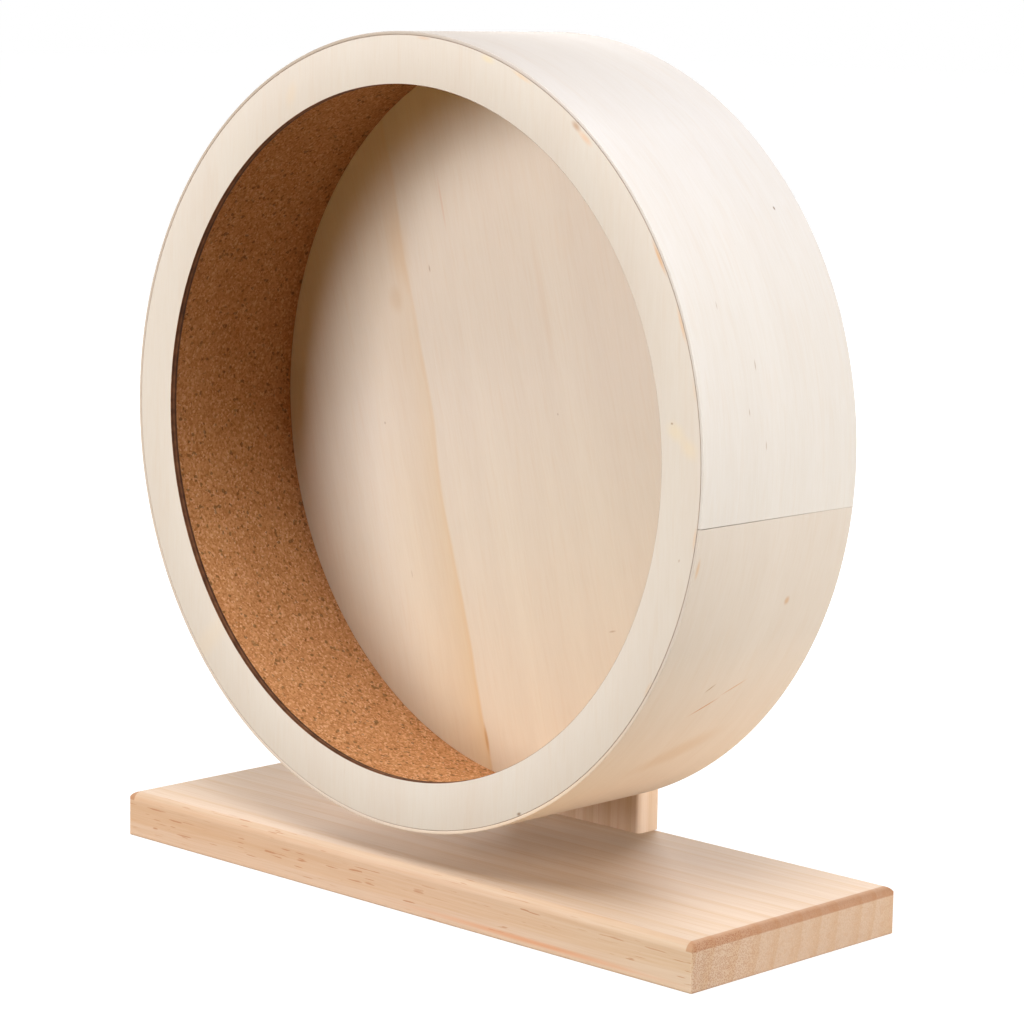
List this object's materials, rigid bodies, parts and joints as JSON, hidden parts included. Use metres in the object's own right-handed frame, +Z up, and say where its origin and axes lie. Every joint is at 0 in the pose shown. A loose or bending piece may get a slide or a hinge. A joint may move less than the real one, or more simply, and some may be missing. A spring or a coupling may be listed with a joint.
{
  "type": "rodent exercise wheel",
  "caption": "Wooden running wheel for a small rodent: a cork-lined plywood drum, open in front, that turns on a ball bearing on a post at the back of a flat pine base.",
  "frame": {"origin": "centre of the base board's flat underside", "axes": "+Z up; +X along the base board, to the right when the open front of the drum is faced; +Y along the axle, from the open front of the drum to the post"},
  "size_m": [0.3, 0.13, 0.3245],
  "materials": {
    "pine_base": "planed and sanded pine, bare",
    "pine_post": "planed and sanded pine, bare",
    "pine_hub": "turned pine, bare",
    "beech": "turned beech, bare",
    "ring_plywood": "sanded pale plywood with a laser-burnt inner edge",
    "disc_plywood": "sanded plywood",
    "skin_plywood": "thin bent plywood, sanded",
    "cork": "fine-grained pressed cork sheet",
    "zinc_steel": "bright zinc plate",
    "shield_steel": "pressed sheet steel",
    "bearing_steel": "ground and polished bearing steel",
    "plated_steel": "bright nickel plate",
    "nylon": "natural moulded nylon"
  },
  "bodies": {
    "stand": {"base_board": "pine_base", "post": "pine_post", "post_screws": "zinc_steel", "post_dowels": "beech", "axle_bolt": "zinc_steel", "axle_spacer": "zinc_steel", "front_washer": "zinc_steel", "rear_washer": "zinc_steel", "axle_nut": "plated_steel", "bearing_inner_race": "bearing_steel"},
    "wheel": {"front_ring": "ring_plywood", "back_disc": "disc_plywood", "rim_skin": "skin_plywood", "cork_lining": "cork", "hub_block": "pine_hub", "bearing_outer_race": "bearing_steel", "bearing_front_shield": "shield_steel", "bearing_rear_shield": "shield_steel"},
    "ball_cage": {"bearing_cage": "nylon", "bearing_balls": "bearing_steel"}
  },
  "joints": [
    {"name": "wheel_spin", "type": "hinge", "parent": "stand", "child": "wheel", "pos_m": [0, 0.0386, 0.1775], "axis": [0, 1, 0], "continuous": true},
    {"name": "ball_cage_spin", "type": "hinge", "parent": "stand", "child": "ball_cage", "pos_m": [0, 0.0386, 0.1775], "axis": [0, 1, 0], "continuous": true}
  ],
  "couplings": [
    {"joint": "ball_cage_spin", "follows": "wheel_spin", "ratio": 0.6323}
  ]
}
